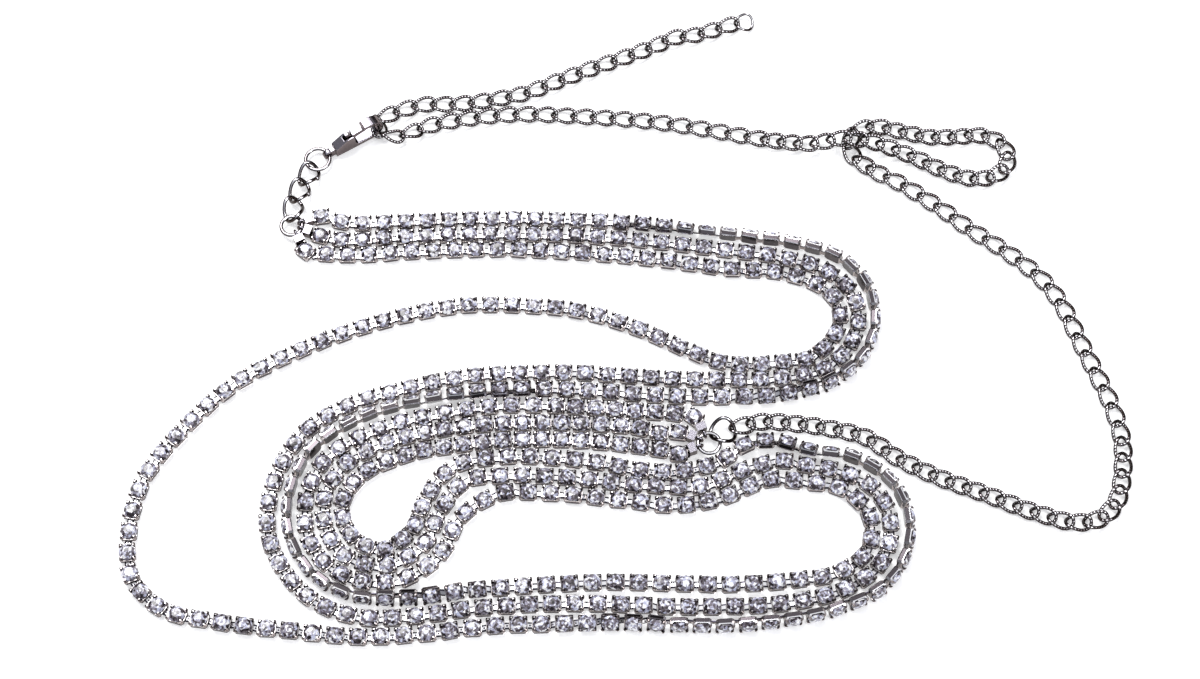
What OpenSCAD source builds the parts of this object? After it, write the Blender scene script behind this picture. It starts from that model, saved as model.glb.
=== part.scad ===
// Three-strand rhinestone waist chain with a long extender chain and a lobster clasp,
// lying on a surface. Millimetres, X to the right, Y away, Z up, surface at Z = 0.

/* [Strands] */
// Width of a strand, which is the side of one square cup
cup_w = 3.0; // [2.6:0.05:3.05]
// Height of a cup with its stone
cup_h = 2.2; // [1.8:0.1:2.8]
// Gap between the end of a strand and its tip
strand_gap = 0.3; // [0.15:0.05:0.4]

/* [Strand tips] */
// Length of the crimped part of a tip
tip_l = 1.5; // [1.1:0.1:1.6]
// Width of the crimped part
tip_w = 2.0; // [1.7:0.1:2.1]
// Height of the crimped part
tip_h = 2.0; // [1.7:0.1:2.2]
// Wire of the loop on a tip
loop_wire = 0.5; // [0.4:0.05:0.55]
// How deep the loop is soldered into the crimped part
loop_sink = 0.3; // [0.2:0.05:0.4]
// Angle between neighbouring tips round their ring
tip_spread = 42; // [40:1:44]

/* [Jump rings] */
// Outer diameter of the two rings that gather the strands
ring_d = 4.95; // [4.8:0.05:5.1]
// Wire of every plain ring
ring_wire = 0.6; // [0.5:0.05:0.65]
// Outer diameter of the ring that carries the clasp
clasp_ring_d = 5.65; // [5.4:0.05:5.9]
// Outer diameter of the ring that carries the extender
extender_ring_d = 5.55; // [5.4:0.05:5.7]
// Outer diameter of the ring at the free end
tail_ring_d = 4.4; // [4.2:0.1:4.8]
// Clear room left between linked wires
link_gap = 0.3; // [0.26:0.01:0.34]

/* [Extender links] */
// Outer length of an extender link
link_l = 5.6; // [5.55:0.01:5.75]
// Outer width of an extender link
link_w = 3.7; // [3.4:0.05:3.75]
// Wire of an extender link
link_wire = 0.55; // [0.45:0.05:0.6]
// Step from link to link where the chain is drawn out
link_step = 4.1; // [3.9:0.02:4.14]
// Step from link to link where the chain lies slack
slack_step = 3.5; // [3.3:0.05:3.7]
// How far a link is twisted out of its plane, each way
link_twist = 0.56; // [0.52:0.01:0.65]

/* [Round links] */
// Outer length of the three round links beside the clasp
round_l = 5.8; // [5.6:0.05:6]
// Outer width of a round link
round_w = 4.4; // [4:0.05:4.6]
// Twist of a round link that holds a flat ring
round_twist = 1.15; // [1.1:0.01:1.25]

/* [Clasp] */
// Length of the clasp
clasp_l = 14; // [13:0.1:15]
// Height of the clasp, which lies on its edge
clasp_h = 5.4; // [5.2:0.1:6]
// Thickness of the clasp
clasp_t = 2.2; // [2:0.1:2.8]
// Wall of the clasp round the hook's opening
hook_wall = 1.0; // [0.8:0.05:1.1]
// Outer radius of the eye at the clasp's tail
eye_r = 1.15; // [1.1:0.05:1.3]
// Thickness of the eye
eye_t = 1.2; // [1:0.05:1.4]
// Radius of the hole in that eye
eye_hole_r = 0.65; // [0.6:0.01:0.7]
// Thickness of the lever
lever_t = 0.9; // [0.6:0.05:1]
// Radius of the lever's pin
pin_r = 0.35; // [0.25:0.05:0.4]
// Clearance between the lever and what it moves past
lever_gap = 0.15; // [0.1:0.01:0.2]

/* [Hidden] */

silver = [0.78, 0.76, 0.74];
stone = [0.66, 0.7, 0.8];

// A strand's route follows the lie of its cups, which are folded back and forth over the surface.
route_top = [
    [-60, 20.4], [-46, 20.4], [-30, 21], [-14, 20.8], [2, 19.9], [20, 17.4], [34, 15.3],
    [42.6, 12.3], [48, 6.7], [49.9, -1.6], [47.5, -9.7], [40.5, -16.1], [31, -18.7],
    [16, -19.2], [-26, -17.7], [-40, -19.6], [-54.6, -24.2], [-62.5, -29.8],
    [-66.8, -38.6], [-66.8, -47.9], [-61.9, -56.5], [-53, -61.4], [-44, -61.8], [-30, -59.8],
    [-8, -58.3], [30, -57.9], [40.5, -56], [45.9, -51.8], [46.7, -44.6], [41.8, -39],
    [34, -37.4], [27, -37], [20, -40], [12, -42.2], [-2, -41.2], [-16, -39.8], [-26.5, -40.2],
    [-32.9, -44.5], [-37.4, -53.1], [-45.5, -58], [-55, -57.1], [-62, -50.8], [-63.7, -42],
    [-60.6, -33.2], [-51, -26.6], [-38, -22.9], [-26, -21.1], [-10, -21.4], [3, -22.4],
    [9.8, -23]];
route_middle = [
    [-60, 16.2], [-48, 16.7], [-31, 17.4], [4.5, 15.8], [20, 13.7], [32, 11.9],
    [40.2, 9.1], [45, 4.6], [46.4, -2], [44.3, -8.1], [38.4, -13.3], [30, -15.1], [16, -15.4],
    [-21, -13.9], [-32.5, -14.7], [-46, -17.7], [-56.5, -21.2], [-64.8, -27.1],
    [-70, -37.2], [-70.8, -47.3], [-66.8, -56.3], [-60.5, -62.3], [-52, -65.3], [-43, -65.2],
    [-30, -63.5], [-12, -62.5], [14, -63.2], [30, -62.4], [42, -59.2],
    [48.6, -54], [50.7, -46.4], [48.8, -40.1], [42.6, -35.6], [35, -33.9], [29.5, -33],
    [24, -34.3], [14, -38.3], [4, -38.2], [-13, -36.5], [-25, -36.1], [-32.5, -37.3],
    [-36.8, -42.7], [-40.4, -50.7], [-48.5, -54.9], [-56, -52.3], [-59.6, -46.6], [-59.7, -39.4],
    [-55.8, -33.4], [-48, -29], [-37, -26.2], [-24, -24.9], [-10, -25], [2, -26], [7, -27.2]];
route_bottom = [
    [-63.5, 13], [-57, 12.6], [-45, 13.3], [-29, 13.9], [-13, 13.3], [4, 11.8], [20, 9.5],
    [33, 8.1], [38, 6.1], [41.8, 2.6], [42.7, -2], [40.9, -6.4], [36.5, -10.4], [30, -11.6],
    [18, -11.5], [12, -9], [1, -3.8], [-10, -0.2], [-22, 1.1], [-34, 1], [-48, -1.8],
    [-65, -8.2], [-78.8, -16.1], [-88.7, -26.1], [-96, -37.5], [-97.8, -48], [-96.4, -57.5],
    [-90.5, -63.4], [-80, -66.1], [-65, -68], [-52, -69.2], [-40, -68.6], [-26, -67],
    [-8, -66.6], [26, -66.7], [40, -63.8], [49, -59.2], [53.7, -52],
    [54.4, -44.8], [51.5, -37.5], [44.2, -32.2], [36, -30.7], [28, -28.6], [23.5, -29.2],
    [17, -33.4], [11, -35], [-12, -32.6], [-26, -32.2], [-35, -34.3], [-40, -40.6],
    [-43, -48], [-48.2, -51.5], [-54, -49], [-56.5, -42.5], [-53.6, -36.6], [-46, -32.3],
    [-34, -29.6], [-20, -28.4], [-8, -28.8], [3, -30.1], [7, -30.8]];

// The extender's route, from the ring at the strands' end to the link that the clasp holds.
// The third number is how high the chain is lifted where it lies over itself.
route_extender = [
    [26, -24.5, 0], [32, -24.8, 0], [40, -26, 0], [46.5, -27.7, 0], [53, -32.3, 0],
    [60, -36, 0], [70, -40, 0], [80, -44, 0], [87, -45.8, 0], [92.2, -44.8, 0], [95.5, -41, 0],
    [97, -35.5, 0], [97.5, -28, 0], [96, -20.5, 0], [93.3, -13, 0], [90.7, -6, 0],
    [88.4, 0.4, 0], [85.6, 5.6, 0], [81.8, 9.9, 0], [76.9, 14, 0], [70.6, 18.6, 0],
    [64.5, 23.7, 0], [56, 29.8, 0], [50.6, 33, 0], [46.7, 36.9, 0], [47.4, 41.4, 0],
    [51.8, 43, 0], [57, 42, 0], [63, 40.6, 0], [69, 40.6, 0], [74, 40.9, 0], [78.2, 39, 0],
    [79.4, 35, 0], [76.6, 31.4, 0], [72, 30.6, 0], [67, 32, 0], [60, 35.4, 0.3], [54.6, 37.4, 1.1],
    [49, 38.7, 2.05], [44, 39, 2.05], [38.6, 38.4, 1.1], [33, 39.2, 0.3], [26.4, 40.4, 0],
    [16.9, 42.3, 0], [7, 44, 0], [-9.4, 45.5, 0], [-25, 46, 0], [-34, 45, 0], [-42.2, 43.2, 0],
    [-45.9, 41.7, 0]];
// Stretches of that route, in millimetres from its start, where the chain lies slack
slack_runs = [[0, 92], [170, 275]];
// The free end's route, from the link beside the held one to the end ring
route_tail = [
    [-44, 48.3, 0], [-36, 48.6, 0], [-28, 49.8, 0], [-22, 51.2, 0], [-15, 54.2, 0],
    [-8.5, 57, 0], [-1, 60, 0], [6, 63, 0], [10, 65, 0], [14, 65.6, 0], [17.4, 66.6, 0],
    [21.4, 68, 0]];

// Where the fittings lie
start_at = [-69.6, 19.2];
start_tip_turn = -20;
end_at = [15.6, -29.3];
end_tip_turn = 158;
extender_turn = 42;
extender_heading = 36;
first_turn = 20;
tail_turn = 13;
clasp_turn = 32;
link_turns = [88, 77, 66];

// How the link that the clasp holds hangs in the hook: heading, slope, roll, height and offset
held_turn = 103.2;
held_slope = 4.1;
held_roll = 23.5;
held_z = 1.53;
held_side = 0.38;

// Derived sizes
ring_r = (ring_d - ring_wire) / 2;
clasp_ring_r = (clasp_ring_d - ring_wire) / 2;
extender_ring_r = (extender_ring_d - ring_wire) / 2;
tail_ring_r = (tail_ring_d - link_wire) / 2;
link_a = (link_l - link_wire) / 2;
link_b = (link_w - link_wire) / 2;
round_a = (round_l - ring_wire) / 2;
round_b = (round_w - ring_wire) / 2;
loop_r = ring_wire / 2 + 0.22 + loop_wire / 2;
tip_from = ring_r + loop_r + loop_wire / 2 - loop_sink;
strand_from = tip_from + tip_l + strand_gap;
round_z = ring_wire / 2 + round_twist;
ring_z = round_z;
link_z = link_wire / 2 + link_twist;

// The round links hang in a row from the start ring, each at the reach of its neighbours
reach_1 = ring_r + round_a - ring_wire - link_gap;
reach_2 = 2 * round_a - ring_wire - link_gap;
reach_4 = clasp_ring_r + round_a - ring_wire - link_gap;
link_1_at = start_at + reach_1 * unit(link_turns[0]);
link_2_at = link_1_at + reach_2 * unit(link_turns[1]);
link_3_at = link_2_at + reach_2 * unit(link_turns[2]);
clasp_ring_at = link_3_at + reach_4 * unit(link_turns[2]);
eye_at = clasp_ring_at + clasp_ring_r * unit(clasp_turn);
extender_ring_at = end_at + (ring_r + extender_ring_r - ring_wire - link_gap) * unit(extender_turn);

// The link that the clasp holds passes through the hook's opening with one long side
hook_r = clasp_h / 2 - hook_wall;
hook_u = clasp_l - clasp_h / 2;
held_u = hook_u + 0.6;
held_at = eye_at + (held_u - eye_r) * unit(clasp_turn) + held_side * unit(clasp_turn + 90)
    + link_b * cos(held_roll) * unit(held_turn - 90);

function unit(a) = [cos(a), sin(a)];
function mix(p, q, t) = p * (1 - t) + q * t;
function lift(p, z) = [p[0], p[1], z];

// A smooth curve through the points p, with k steps in each span, as a list of points
function slope(p, i) =
    i == 0 ? (p[1] - p[0]) / norm(p[1] - p[0]) :
    i == len(p) - 1 ? (p[i] - p[i - 1]) / norm(p[i] - p[i - 1]) :
    let (d0 = norm(p[i] - p[i - 1]), d1 = norm(p[i + 1] - p[i]))
    ((p[i] - p[i - 1]) / d0 * d1 + (p[i + 1] - p[i]) / d1 * d0) / (d0 + d1);
function on_curve(p, i, t) =
    let (d = norm(p[i + 1] - p[i]), u = 1 - t)
    p[i] * (1 + 2 * t) * u * u + p[i + 1] * t * t * (3 - 2 * t)
    + slope(p, i) * d * t * u * u - slope(p, i + 1) * d * t * t * u;
function curve(p, k) =
    concat([for (i = [0:len(p) - 2], j = [0:k - 1]) on_curve(p, i, j / k)], [p[len(p) - 1]]);

// How sharply the route turns at point i, and the rings of a tube along it, with one more in the
// middle of a long span that bends
bend_limit = 445;
function turn(p, i) =
    i < 1 || i > len(p) - 2 ? 0 :
    let (a = p[i] - p[i - 1], b = p[i + 1] - p[i])
    acos(min(1, a * b / norm(a) / norm(b)));
function bend(p, i) = norm(p[i + 1] - p[i]) * (turn(p, i) + turn(p, i + 1));
function rings(p) = concat(
    [for (i = [0:len(p) - 2], j = [0:bend(p, i) > bend_limit ? 1 : 0]) on_curve(p, i, j / 2)],
    [p[len(p) - 1]]);

// A tube along the flat curve c, with an eight-sided section w wide and h high on the surface
section = [[-0.5, 0.3], [-0.5, 0.72], [-0.3, 1], [0.3, 1], [0.5, 0.72], [0.5, 0.3], [0.3, 0],
           [-0.3, 0]];
module tube(c, w, h) {
    n = len(c);
    m = len(section);
    side = [for (i = [0:n - 1])
        let (d = c[min(i + 1, n - 1)] - c[max(i - 1, 0)]) [-d[1], d[0]] / norm(d)];
    stretch = [for (i = [0:n - 1]) 1 / cos(min(40, turn(c, i) / 2))];
    points = [for (i = [0:n - 1], s = section)
        lift(c[i] + side[i] * s[0] * w * stretch[i], s[1] * h)];
    faces = concat(
        [[for (j = [m - 1:-1:0]) j]],
        [[for (j = [0:m - 1]) (n - 1) * m + j]],
        [for (i = [0:n - 2], j = [0:m - 1])
            let (a = i * m + j, b = i * m + (j + 1) % m) [a, b, a + m]],
        [for (i = [0:n - 2], j = [0:m - 1])
            let (a = i * m + j, b = i * m + (j + 1) % m) [b, b + m, a + m]]);
    polyhedron(points, faces);
}

// One twisted link: an oval of half-axes a and b, raised and lowered by twist, in links that are
// placed by rows of [position, heading, slope, roll]
oval_n = 10;
wire_n = 5;
function oval(a, b, twist, t) = [a * cos(t), b * sin(t), twist * sin(2 * t)];
function spun(v, roll, slope, heading) =
    let (
        y = v[1] * cos(roll) - v[2] * sin(roll),
        z = v[1] * sin(roll) + v[2] * cos(roll),
        x = v[0] * cos(slope) - z * sin(slope),
        h = v[0] * sin(slope) + z * cos(slope))
    [x * cos(heading) - y * sin(heading), x * sin(heading) + y * cos(heading), h];
function link_points(a, b, twist, wire, n, row) = [
    for (i = [0:n - 1])
        let (
            t = 360 * i / n,
            p = oval(a, b, twist, t),
            q = oval(a, b, twist, t + 1) - oval(a, b, twist, t - 1),
            out = [q[1], -q[0], 0] / norm([q[1], -q[0], 0]),
            up = cross(out, q) / norm(cross(out, q)))
        for (j = [0:wire_n - 1])
            let (w = 360 * (j + 0.5) / wire_n)
            row[0] + spun(p + wire / 2 * (out * cos(w) + up * sin(w)), row[3], row[2], row[1])];
function link_faces(n, first) = [
    for (i = [0:n - 1], j = [0:wire_n - 1], half = [0, 1])
        let (
            a = first + i * wire_n + j,
            b = first + i * wire_n + (j + 1) % wire_n,
            c = first + (i + 1) % n * wire_n + j,
            d = first + (i + 1) % n * wire_n + (j + 1) % wire_n)
        half == 0 ? [a, b, c] : [b, d, c]];
module links(a, b, twist, wire, n, rows) {
    polyhedron(
        [for (row = rows) each link_points(a, b, twist, wire, n, row)],
        [for (k = [0:len(rows) - 1]) each link_faces(n, k * n * wire_n)]);
}

// Links along a curve: the distance along it, and the place at a given distance
fine = 8;
function along(c) = [for (i = 0, s = 0; i < len(c);
    s = i < len(c) - 1 ? s + norm(c[i + 1] - c[i]) : s, i = i + 1) s];
function place(c, s, d) =
    let (i = max([for (k = [0:len(c) - 2]) if (s[k] <= d || k == 0) k]))
    mix(c[i], c[i + 1], (d - s[i]) / (s[i + 1] - s[i]));
function step_at(d, runs) =
    len([for (r = runs) if (d >= r[0] && d < r[1]) r]) > 0 ? slack_step : link_step;
function link_rows(p, runs) =
    let (
        c = curve(p, fine),
        s = along(c),
        total = s[len(s) - 1],
        far = [for (d = 0; d < total + link_step / 2; d = d + step_at(d, runs)) d],
        fit = total / far[len(far) - 1])
    [for (f = far)
        let (
            d = f * fit,
            at = place(c, s, d),
            to = place(c, s, min(total, d + link_a)) - place(c, s, max(0, d - link_a)))
        [at + [0, 0, link_z], atan2(to[1], to[0]), asin(to[2] / norm(to)), 0]];

// The extender's first link hangs in its ring, and its last and the tail's first in the held link
held_reach = link_a - link_wire - link_gap;
extender_first = extender_ring_at + (extender_ring_r + held_reach) * unit(first_turn);
last_swing = -9.3;
first_swing = 33.4;
extender_last = held_at - held_reach * unit(held_turn) + link_a * unit(last_swing);
tail_first = held_at + held_reach * unit(held_turn) + link_a * unit(first_swing);
extender_path = concat([lift(extender_first, 0)], route_extender, [lift(extender_last, 0.2)]);
tail_path = concat([lift(tail_first, 0.2)], route_tail);

// The links beside the held one lie tilted, as rows of [position, heading, slope, roll]
last_rows = [[[-45.7, 41.58, 1.14], 27.3, -5.9, -15.3], [lift(extender_last, 1.3), -12, -2, -24.6]];
first_row = [lift(tail_first, 0.86), 26.4, 0, -3.7];
laid_rows = link_rows(extender_path, slack_runs);
free_rows = link_rows(tail_path, []);
extender_rows = concat([for (i = [0:len(laid_rows) - 3]) laid_rows[i]], last_rows);
tail_rows = [for (i = [0:len(free_rows) - 1]) i > 0 ? free_rows[i] : first_row];
tail_ring_at = route_tail[len(route_tail) - 1]
    + lift((link_a + tail_ring_r - link_wire - link_gap) * unit(tail_turn), link_z);

// The strands start and end beside their tips, and run straight there for a short lead
lead = 1.5;
function tip_angle(i) = (1 - i) * tip_spread;
function from_start(i, far) = start_at + (strand_from + far) * unit(start_tip_turn + tip_angle(i));
function from_end(i, far) = end_at + (strand_from + far) * unit(end_tip_turn - tip_angle(i));
function strand(route, i) = rings(concat(
    [from_start(i, 0), from_start(i, lead)], route, [from_end(i, lead), from_end(i, 0)]));

module strand_top() {
    color(stone) tube(strand(route_top, 0), cup_w, cup_h);
}

module strand_middle() {
    color(stone) tube(strand(route_middle, 1), cup_w, cup_h);
}

module strand_bottom() {
    color(stone) tube(strand(route_bottom, 2), cup_w, cup_h);
}

// A plain ring of centre-line radius r, flat at height z
module ring(r, wire, at, z) {
    translate(lift(at, z))
        rotate_extrude($fn = 48)
            translate([r, 0])
                circle(d = wire, $fn = 24);
}

// A crimped tip with an upright loop, on the ring at the given place
module tip(at, angle) {
    color(silver)
        translate(at)
            rotate(angle) {
                translate([ring_r, 0, ring_z])
                    rotate([90, 0, 0])
                        rotate_extrude($fn = 36)
                            translate([loop_r, 0])
                                circle(d = loop_wire, $fn = 20);
                translate([tip_from, -tip_w / 2, ring_z - tip_h / 2])
                    cube([tip_l, tip_w, tip_h]);
            }
}

module start_tip_top() {
    tip(start_at, start_tip_turn + tip_angle(0));
}

module start_tip_middle() {
    tip(start_at, start_tip_turn + tip_angle(1));
}

module start_tip_bottom() {
    tip(start_at, start_tip_turn + tip_angle(2));
}

module end_tip_top() {
    tip(end_at, end_tip_turn - tip_angle(0));
}

module end_tip_middle() {
    tip(end_at, end_tip_turn - tip_angle(1));
}

module end_tip_bottom() {
    tip(end_at, end_tip_turn - tip_angle(2));
}

module start_ring() {
    color(silver) ring(ring_r, ring_wire, start_at, ring_z);
}

module end_ring() {
    color(silver) ring(ring_r, ring_wire, end_at, ring_z);
}

module clasp_ring() {
    color(silver) ring(clasp_ring_r, ring_wire, clasp_ring_at, eye_r);
}

module extender_ring() {
    color(silver)
        links(extender_ring_r, extender_ring_r, round_twist, ring_wire, 12,
            [[lift(extender_ring_at, round_z), extender_heading, 0, 0]]);
}

module tail_ring() {
    color(silver)
        links(tail_ring_r, tail_ring_r, link_twist, link_wire, 12, [[tail_ring_at, tail_turn, 0, 0]]);
}

module round_link(at, heading) {
    color(silver)
        links(round_a, round_b, round_twist, ring_wire, 12, [[lift(at, round_z), heading, 0, 0]]);
}

module link_1() {
    round_link(link_1_at, link_turns[0]);
}

module link_2() {
    round_link(link_2_at, (link_turns[1] + link_turns[2]) / 2);
}

module link_3() {
    round_link(link_3_at, link_turns[2]);
}

module held_link() {
    color(silver)
        links(link_a, link_b, link_twist, link_wire, oval_n,
            [[lift(held_at, held_z), held_turn, held_slope, held_roll]]);
}

module extender_chain() {
    color(silver) links(link_a, link_b, link_twist, link_wire, oval_n, extender_rows);
}

module extender_tail() {
    color(silver) links(link_a, link_b, link_twist, link_wire, oval_n, tail_rows);
}

// The clasp is drawn in its own plane, u along it and v up, with the eye's foot at the origin
pivot = [clasp_l * 0.457, clasp_h * 0.55];
slot_w = lever_t + 2 * lever_gap;
boss_r = pin_r + 0.55;
function arc(c, r, a, b, n) = [for (i = [0:n]) c + r * unit(a + (b - a) * i / n)];
body_outline = concat(
    [[2 * eye_r + 0.3, 0.1], [0.36 * clasp_l, 0]],
    arc([hook_u, clasp_h / 2], clasp_h / 2, -90, 90, 18),
    [[0.7 * clasp_l, clasp_h], [0.67 * clasp_l, clasp_h - hook_wall * 0.7]],
    arc([hook_u, clasp_h / 2], hook_r, 90, -90, 14),
    [[0.56 * clasp_l, hook_wall], [0.52 * clasp_l, hook_wall + 0.6],
     [0.515 * clasp_l, 0.74 * clasp_h], [0.4 * clasp_l, 0.76 * clasp_h],
     [2 * eye_r + 0.3, 2 * eye_r + 0.2]]);
neck_outline = [
    [eye_r, 0.2], [2 * eye_r + 0.8, 0.3], [2 * eye_r + 0.8, 2 * eye_r], [eye_r, 2 * eye_r - 0.2]];

// Sets a shape drawn in the clasp's plane, of thickness t, upright where the clasp lies
module in_clasp(t) {
    translate(eye_at)
        rotate(clasp_turn)
            translate([-eye_r, t / 2, 0])
                rotate([90, 0, 0])
                    linear_extrude(t)
                        children();
}

module clasp_body() {
    color(silver) {
        difference() {
            union() {
                in_clasp(clasp_t)
                    polygon(body_outline);
                in_clasp(eye_t)
                    difference() {
                        union() {
                            polygon(neck_outline);
                            translate([eye_r, eye_r])
                                circle(eye_r, $fn = 32);
                        }
                        translate([eye_r, eye_r])
                            circle(eye_hole_r, $fn = 24);
                    }
            }
            in_clasp(slot_w)
                translate([pivot[0] - boss_r - 0.5, pivot[1] - boss_r - lever_gap])
                    square([boss_r * 2 + 1.2, clasp_h]);
        }
        in_clasp(clasp_t)
            translate(pivot)
                circle(pin_r, $fn = 20);
    }
}

arm_top = clasp_h - hook_wall - lever_gap;
arm_tip = 0.79 * clasp_l;
module clasp_lever() {
    color(silver)
        in_clasp(lever_t)
            difference() {
                union() {
                    translate(pivot)
                        circle(boss_r, $fn = 28);
                    polygon([
                        pivot + [-0.1, boss_r * 0.5 - 1], [arm_tip, arm_top - 0.75],
                        [arm_tip + 0.2, arm_top - 0.3], [arm_tip - 0.3, arm_top - 0.05],
                        [0.6 * clasp_l, arm_top - 0.1], pivot + [0.6, boss_r + 0.1],
                        pivot + [-0.2, boss_r + 1.3], pivot + [-1, boss_r + 1.2],
                        pivot + [-0.8, boss_r * 0.4]]);
                }
                translate(pivot)
                    circle(pin_r + lever_gap * 0.7, $fn = 20);
            }
}

strand_top();
strand_middle();
strand_bottom();
start_tip_top();
start_tip_middle();
start_tip_bottom();
end_tip_top();
end_tip_middle();
end_tip_bottom();
start_ring();
end_ring();
extender_ring();
clasp_ring();
tail_ring();
link_1();
link_2();
link_3();
clasp_body();
clasp_lever();
held_link();
extender_chain();
extender_tail();
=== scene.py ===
import math

import bpy
import numpy as np
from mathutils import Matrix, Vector


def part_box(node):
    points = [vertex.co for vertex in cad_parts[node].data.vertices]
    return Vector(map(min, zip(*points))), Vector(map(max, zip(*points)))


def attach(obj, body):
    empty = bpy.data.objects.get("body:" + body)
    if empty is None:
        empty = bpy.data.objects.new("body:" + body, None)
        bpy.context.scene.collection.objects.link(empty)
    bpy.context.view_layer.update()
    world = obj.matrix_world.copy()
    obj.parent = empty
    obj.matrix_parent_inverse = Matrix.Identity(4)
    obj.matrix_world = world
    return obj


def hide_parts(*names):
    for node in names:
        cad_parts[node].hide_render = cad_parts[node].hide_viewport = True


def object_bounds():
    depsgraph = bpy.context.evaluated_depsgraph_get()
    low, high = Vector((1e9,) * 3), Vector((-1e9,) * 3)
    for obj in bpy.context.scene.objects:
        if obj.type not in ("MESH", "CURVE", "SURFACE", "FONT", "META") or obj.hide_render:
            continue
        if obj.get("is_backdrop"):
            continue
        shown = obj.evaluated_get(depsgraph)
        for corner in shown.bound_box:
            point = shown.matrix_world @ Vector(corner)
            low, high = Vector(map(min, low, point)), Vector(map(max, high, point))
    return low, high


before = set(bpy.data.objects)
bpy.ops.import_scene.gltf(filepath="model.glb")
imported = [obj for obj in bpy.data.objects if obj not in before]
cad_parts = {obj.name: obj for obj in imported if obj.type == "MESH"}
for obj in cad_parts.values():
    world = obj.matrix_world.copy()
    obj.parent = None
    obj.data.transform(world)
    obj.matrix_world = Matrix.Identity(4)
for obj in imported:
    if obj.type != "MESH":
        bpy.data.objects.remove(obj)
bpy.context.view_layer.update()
rng = np.random.default_rng(11)
MM = 0.001

# Routes in millimetres, as in the part's source: x and y, and z for the extender
# and its free end
ROUTE_TOP = [
    (-60, 20.4), (-46, 20.4), (-30, 21), (-14, 20.8), (2, 19.9), (20, 17.4), (34, 15.3),
    (42.6, 12.3), (48, 6.7), (49.9, -1.6), (47.5, -9.7), (40.5, -16.1), (31, -18.7),
    (16, -19.2), (-26, -17.7), (-40, -19.6), (-54.6, -24.2), (-62.5, -29.8),
    (-66.8, -38.6), (-66.8, -47.9), (-61.9, -56.5), (-53, -61.4), (-44, -61.8), (-30, -59.8),
    (-8, -58.3), (30, -57.9), (40.5, -56), (45.9, -51.8), (46.7, -44.6), (41.8, -39),
    (34, -37.4), (27, -37), (20, -40), (12, -42.2), (-2, -41.2), (-16, -39.8), (-26.5, -40.2),
    (-32.9, -44.5), (-37.4, -53.1), (-45.5, -58), (-55, -57.1), (-62, -50.8), (-63.7, -42),
    (-60.6, -33.2), (-51, -26.6), (-38, -22.9), (-26, -21.1), (-10, -21.4), (3, -22.4),
    (9.8, -23)]
ROUTE_MIDDLE = [
    (-60, 16.2), (-48, 16.7), (-31, 17.4), (4.5, 15.8), (20, 13.7), (32, 11.9),
    (40.2, 9.1), (45, 4.6), (46.4, -2), (44.3, -8.1), (38.4, -13.3), (30, -15.1), (16, -15.4),
    (-21, -13.9), (-32.5, -14.7), (-46, -17.7), (-56.5, -21.2), (-64.8, -27.1),
    (-70, -37.2), (-70.8, -47.3), (-66.8, -56.3), (-60.5, -62.3), (-52, -65.3), (-43, -65.2),
    (-30, -63.5), (-12, -62.5), (14, -63.2), (30, -62.4), (42, -59.2),
    (48.6, -54), (50.7, -46.4), (48.8, -40.1), (42.6, -35.6), (35, -33.9), (29.5, -33),
    (24, -34.3), (14, -38.3), (4, -38.2), (-13, -36.5), (-25, -36.1), (-32.5, -37.3),
    (-36.8, -42.7), (-40.4, -50.7), (-48.5, -54.9), (-56, -52.3), (-59.6, -46.6), (-59.7, -39.4),
    (-55.8, -33.4), (-48, -29), (-37, -26.2), (-24, -24.9), (-10, -25), (2, -26), (7, -27.2)]
ROUTE_BOTTOM = [
    (-63.5, 13), (-57, 12.6), (-45, 13.3), (-29, 13.9), (-13, 13.3), (4, 11.8), (20, 9.5),
    (33, 8.1), (38, 6.1), (41.8, 2.6), (42.7, -2), (40.9, -6.4), (36.5, -10.4), (30, -11.6),
    (18, -11.5), (12, -9), (1, -3.8), (-10, -0.2), (-22, 1.1), (-34, 1), (-48, -1.8),
    (-65, -8.2), (-78.8, -16.1), (-88.7, -26.1), (-96, -37.5), (-97.8, -48), (-96.4, -57.5),
    (-90.5, -63.4), (-80, -66.1), (-65, -68), (-52, -69.2), (-40, -68.6), (-26, -67),
    (-8, -66.6), (26, -66.7), (40, -63.8), (49, -59.2), (53.7, -52),
    (54.4, -44.8), (51.5, -37.5), (44.2, -32.2), (36, -30.7), (28, -28.6), (23.5, -29.2),
    (17, -33.4), (11, -35), (-12, -32.6), (-26, -32.2), (-35, -34.3), (-40, -40.6),
    (-43, -48), (-48.2, -51.5), (-54, -49), (-56.5, -42.5), (-53.6, -36.6), (-46, -32.3),
    (-34, -29.6), (-20, -28.4), (-8, -28.8), (3, -30.1), (7, -30.8)]
ROUTE_EXTENDER = [
    (26, -24.5, 0), (32, -24.8, 0), (40, -26, 0), (46.5, -27.7, 0), (53, -32.3, 0),
    (60, -36, 0), (70, -40, 0), (80, -44, 0), (87, -45.8, 0), (92.2, -44.8, 0), (95.5, -41, 0),
    (97, -35.5, 0), (97.5, -28, 0), (96, -20.5, 0), (93.3, -13, 0), (90.7, -6, 0),
    (88.4, 0.4, 0), (85.6, 5.6, 0), (81.8, 9.9, 0), (76.9, 14, 0), (70.6, 18.6, 0),
    (64.5, 23.7, 0), (56, 29.8, 0), (50.6, 33, 0), (46.7, 36.9, 0), (47.4, 41.4, 0),
    (51.8, 43, 0), (57, 42, 0), (63, 40.6, 0), (69, 40.6, 0), (74, 40.9, 0), (78.2, 39, 0),
    (79.4, 35, 0), (76.6, 31.4, 0), (72, 30.6, 0), (67, 32, 0), (60, 35.4, 0.3),
    (54.6, 37.4, 1.1), (49, 38.7, 2.05), (44, 39, 2.05), (38.6, 38.4, 1.1), (33, 39.2, 0.3),
    (26.4, 40.4, 0), (16.9, 42.3, 0), (7, 44, 0), (-9.4, 45.5, 0), (-25, 46, 0), (-34, 45, 0),
    (-42.2, 43.2, 0), (-45.9, 41.7, 0)]
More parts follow.
